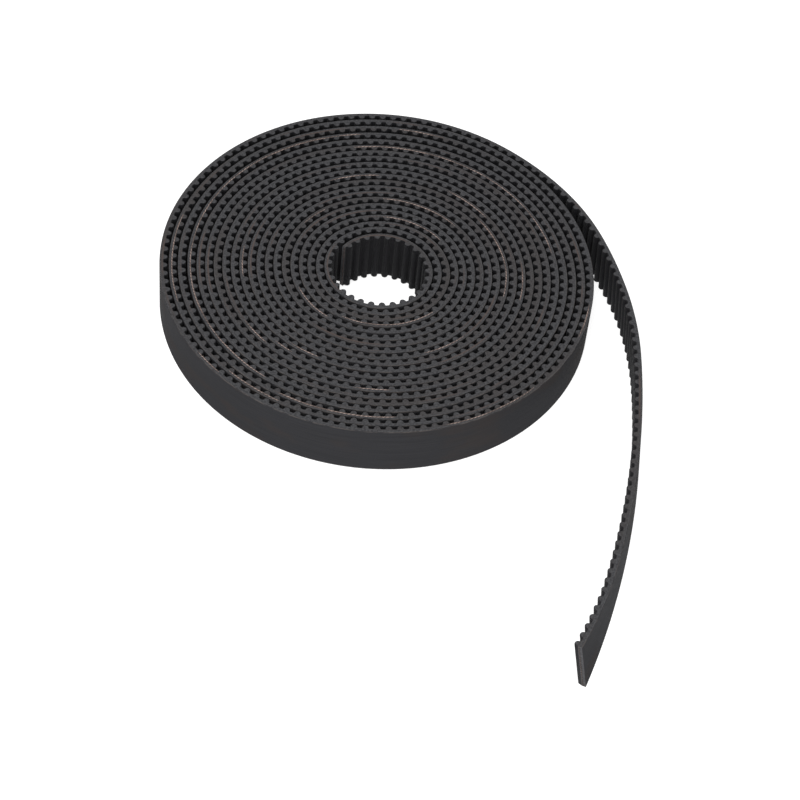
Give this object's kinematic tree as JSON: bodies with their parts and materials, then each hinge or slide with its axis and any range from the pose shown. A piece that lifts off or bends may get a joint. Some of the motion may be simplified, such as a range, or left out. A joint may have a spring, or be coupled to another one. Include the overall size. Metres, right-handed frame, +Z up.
{
  "type": "timing belt",
  "caption": "Open-ended rubber timing belt with round teeth on the inside, rolled up into a flat coil with its outer end left free.",
  "frame": {"origin": "centre of the coil's eye, on the surface that the coil lies on", "axes": "+Z up along the coil's axis; +X towards the side where the tail leaves the coil; -Y the way the tail runs"},
  "size_m": [0.1315, 0.1772, 0.015],
  "materials": {
    "rubber_back": "ground satin neoprene rubber",
    "toothed_facing": "woven nylon-faced rubber, matt",
    "tension_cord": "impregnated glass fibre cord, pinkish brown"
  },
  "bodies": {
    "coil": {"coil_1_backing": "rubber_back", "coil_1_tension_cords": "tension_cord", "coil_1_teeth": "toothed_facing", "coil_2_backing": "rubber_back", "coil_2_tension_cords": "tension_cord", "coil_2_teeth": "toothed_facing", "coil_3_backing": "rubber_back", "coil_3_tension_cords": "tension_cord", "coil_3_teeth": "toothed_facing", "coil_4_backing": "rubber_back", "coil_4_tension_cords": "tension_cord", "coil_4_teeth": "toothed_facing", "coil_5_backing": "rubber_back", "coil_5_tension_cords": "tension_cord", "coil_5_teeth": "toothed_facing"},
    "tail_1": {"tail_1_backing": "rubber_back", "tail_1_tension_cords": "tension_cord", "tail_1_teeth": "toothed_facing"},
    "tail_2": {"tail_2_backing": "rubber_back", "tail_2_tension_cords": "tension_cord", "tail_2_teeth": "toothed_facing"},
    "tail_3": {"tail_3_backing": "rubber_back", "tail_3_tension_cords": "tension_cord", "tail_3_teeth": "toothed_facing"},
    "tail_4": {"tail_4_backing": "rubber_back", "tail_4_tension_cords": "tension_cord", "tail_4_teeth": "toothed_facing"},
    "tail_5": {"tail_5_backing": "rubber_back", "tail_5_tension_cords": "tension_cord", "tail_5_teeth": "toothed_facing"},
    "tail_6": {"tail_6_backing": "rubber_back", "tail_6_tension_cords": "tension_cord", "tail_6_teeth": "toothed_facing"}
  },
  "joints": [
    {"name": "flex_1", "type": "hinge", "parent": "coil", "child": "tail_1", "pos_m": [0.04729, 0.03734, 0.0075], "axis": [0, 0, 1], "range_deg": [0, 25], "stiffness_Nm_per_rad": 0.01},
    {"name": "flex_2", "type": "hinge", "parent": "tail_1", "child": "tail_2", "pos_m": [0.06172, 0.01467, 0.0075], "axis": [0, 0, 1], "range_deg": [-15, 25], "stiffness_Nm_per_rad": 0.01},
    {"name": "flex_3", "type": "hinge", "parent": "tail_2", "child": "tail_3", "pos_m": [0.06943, -0.01114, 0.0075], "axis": [0, 0, 1], "range_deg": [-15, 25], "stiffness_Nm_per_rad": 0.01},
    {"name": "flex_4", "type": "hinge", "parent": "tail_3", "child": "tail_4", "pos_m": [0.07124, -0.03805, 0.0075], "axis": [0, 0, 1], "range_deg": [-15, 25], "stiffness_Nm_per_rad": 0.01},
    {"name": "flex_5", "type": "hinge", "parent": "tail_4", "child": "tail_5", "pos_m": [0.06998, -0.06501, 0.0075], "axis": [0, 0, 1], "range_deg": [-15, 25], "stiffness_Nm_per_rad": 0.01},
    {"name": "flex_6", "type": "hinge", "parent": "tail_5", "child": "tail_6", "pos_m": [0.06596, -0.09169, 0.0075], "axis": [0, 0, 1], "range_deg": [-15, 25], "stiffness_Nm_per_rad": 0.01}
  ]
}
